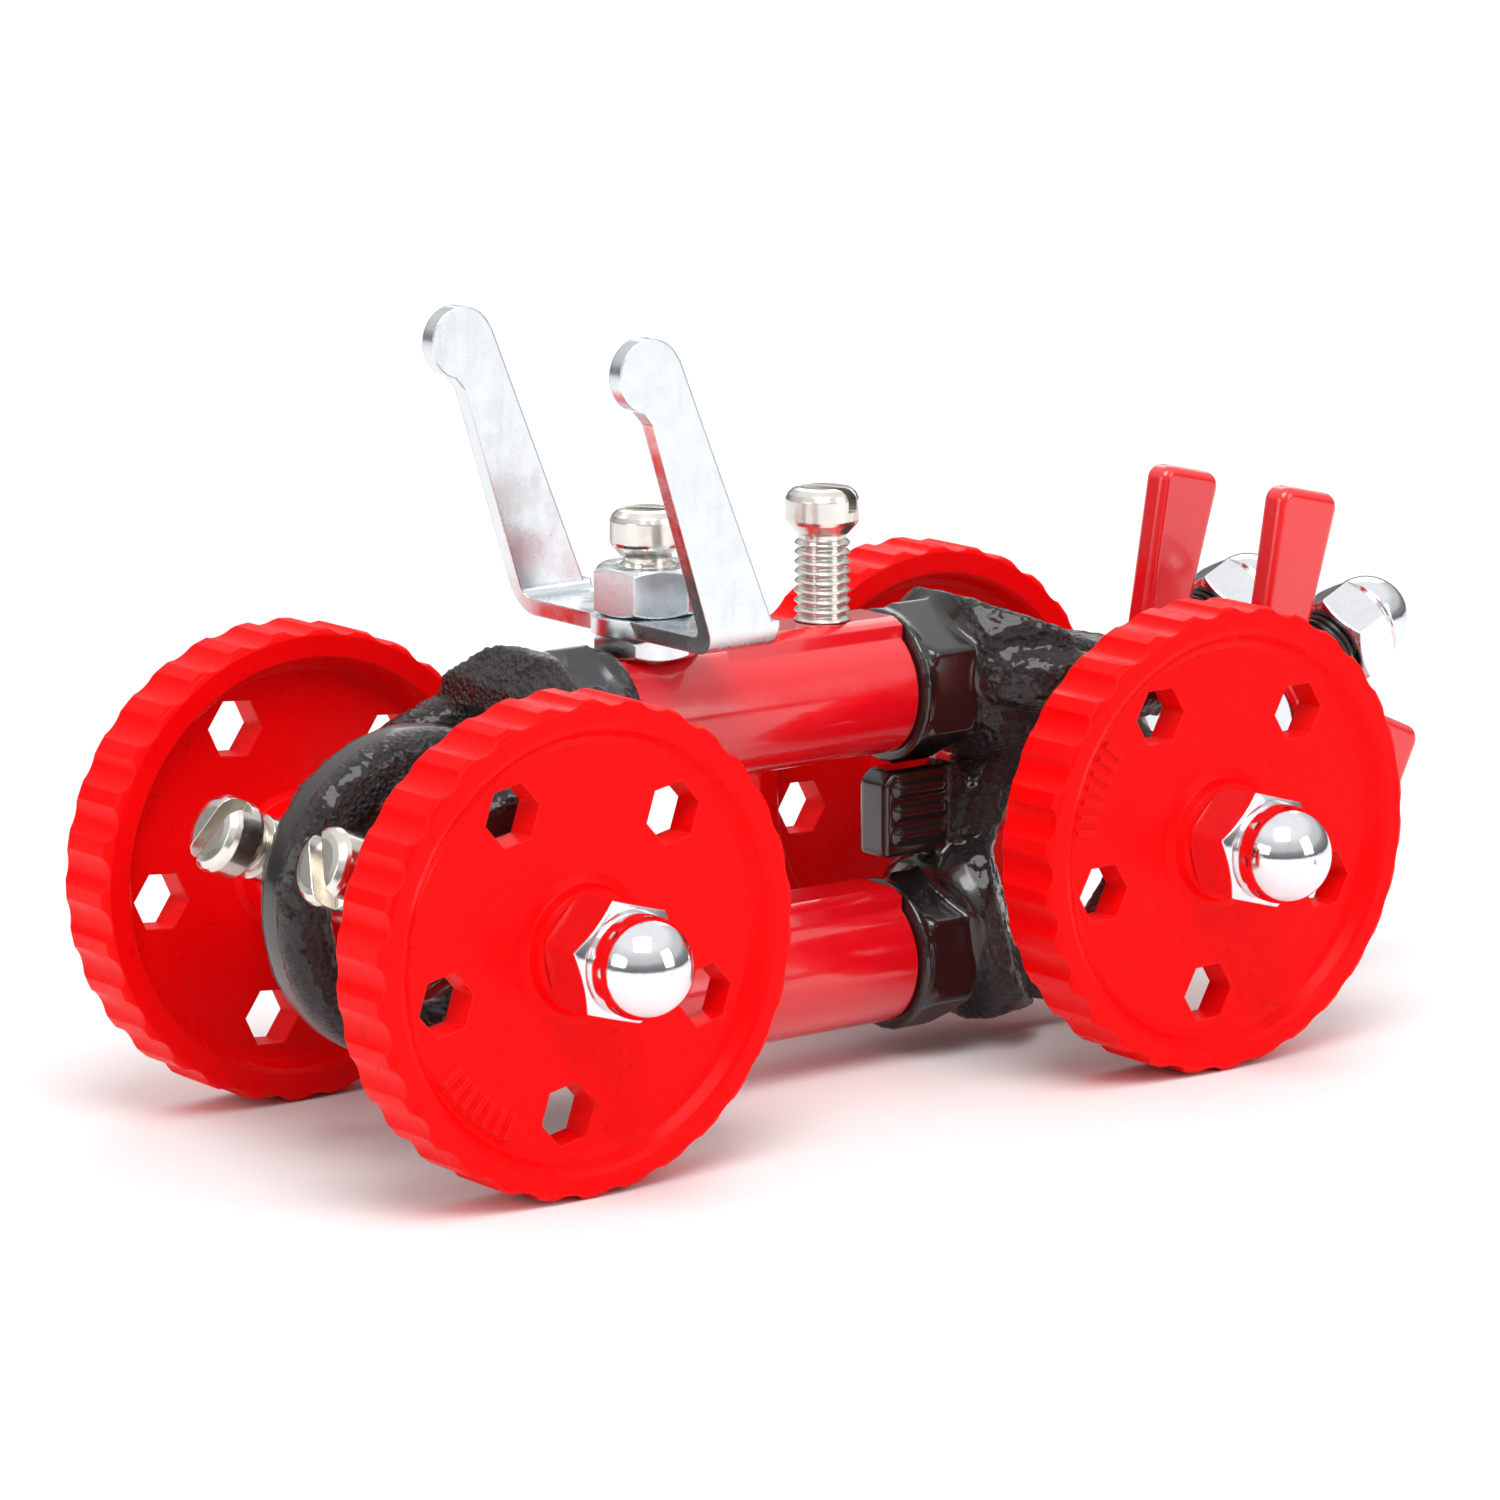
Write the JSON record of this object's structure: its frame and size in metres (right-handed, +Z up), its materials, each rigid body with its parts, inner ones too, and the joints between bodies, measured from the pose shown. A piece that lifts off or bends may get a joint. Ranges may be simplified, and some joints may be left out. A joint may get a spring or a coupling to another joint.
{
  "type": "toy buggy built from hardware parts",
  "caption": "Toy buggy assembled from hardware: lobed wheels on threaded axles, twin bars, cast eye nuts, leaning windscreen bracket and wing nuts at the tail.",
  "frame": {"origin": "on the ground, at the centre of the footprint of the whole bounding box; the axles are at Y -50.91 mm and 32.19 mm", "axes": "+Z up, -Y towards the front, +X towards the vehicle left side"},
  "size_m": [0.0846, 0.1518, 0.0826],
  "materials": {
    "red_plastic": "gloss",
    "red_lacquer": "gloss",
    "red_paint": "gloss",
    "black_casting": "gloss",
    "black_spring": "gloss",
    "chrome": "polished",
    "zinc": "satin",
    "nickel": "satin"
  },
  "bodies": {
    "chassis": {"bar_end_studs": "nickel", "bracket_lower_nut": "zinc", "bracket_screw": "nickel", "bracket_upper_nut": "zinc", "front_axle": "nickel", "front_axle_sleeve": "nickel", "front_left_cap_nut": "chrome", "front_left_inner_nut": "zinc", "front_lower_eye_nut": "black_casting", "front_right_cap_nut": "chrome", "front_right_inner_nut": "zinc", "front_upper_eye_nut": "black_casting", "left_lamp_screw": "nickel", "left_tail_cap_nut": "chrome", "left_tail_lock_nut": "zinc", "left_tail_spring": "black_spring", "left_tail_stud": "nickel", "lever_screw": "nickel", "lower_bar": "red_lacquer", "rear_axle": "nickel", "rear_axle_sleeve": "nickel", "rear_left_cap_nut": "chrome", "rear_left_inner_nut": "zinc", "rear_lower_eye_nut": "black_casting", "rear_right_cap_nut": "chrome", "rear_right_inner_nut": "zinc", "rear_upper_eye_nut": "black_casting", "right_lamp_screw": "nickel", "right_tail_cap_nut": "chrome", "right_tail_lock_nut": "zinc", "right_tail_spring": "black_spring", "right_tail_stud": "nickel", "upper_bar": "red_lacquer"},
    "front_left_wheel": {"front_left_wheel": "red_plastic"},
    "front_right_wheel": {"front_right_wheel": "red_plastic"},
    "rear_left_wheel": {"rear_left_wheel": "red_plastic"},
    "rear_right_wheel": {"rear_right_wheel": "red_plastic"},
    "bracket": {"windscreen_bracket": "zinc"},
    "left_wing": {"left_wing_nut": "red_paint"},
    "right_wing": {"right_wing_nut": "red_paint"}
  },
  "joints": [
    {"name": "front_left_spin", "type": "hinge", "parent": "chassis", "child": "front_left_wheel", "pos_m": [0.02495, -0.05091, 0.025], "axis": [1, 0, 0], "continuous": true},
    {"name": "front_right_spin", "type": "hinge", "parent": "chassis", "child": "front_right_wheel", "pos_m": [-0.02495, -0.05091, 0.025], "axis": [1, 0, 0], "continuous": true},
    {"name": "rear_left_spin", "type": "hinge", "parent": "chassis", "child": "rear_left_wheel", "pos_m": [0.02495, 0.03219, 0.025], "axis": [1, 0, 0], "continuous": true},
    {"name": "rear_right_spin", "type": "hinge", "parent": "chassis", "child": "rear_right_wheel", "pos_m": [-0.02495, 0.03219, 0.025], "axis": [1, 0, 0], "continuous": true},
    {"name": "bracket_swing", "type": "hinge", "parent": "chassis", "child": "bracket", "pos_m": [0, -0.02256, 0.05], "axis": [0, 0, 1], "range_deg": [-60, 60]},
    {"name": "left_wing_turn", "type": "hinge", "parent": "chassis", "child": "left_wing", "pos_m": [0.0098, 0.05702, 0.03658], "axis": [0, 0.9063, 0.4226], "range_deg": [-20, 20]},
    {"name": "right_wing_turn", "type": "hinge", "parent": "chassis", "child": "right_wing", "pos_m": [-0.0098, 0.05702, 0.03658], "axis": [0, 0.9063, 0.4226], "range_deg": [-20, 20]}
  ]
}
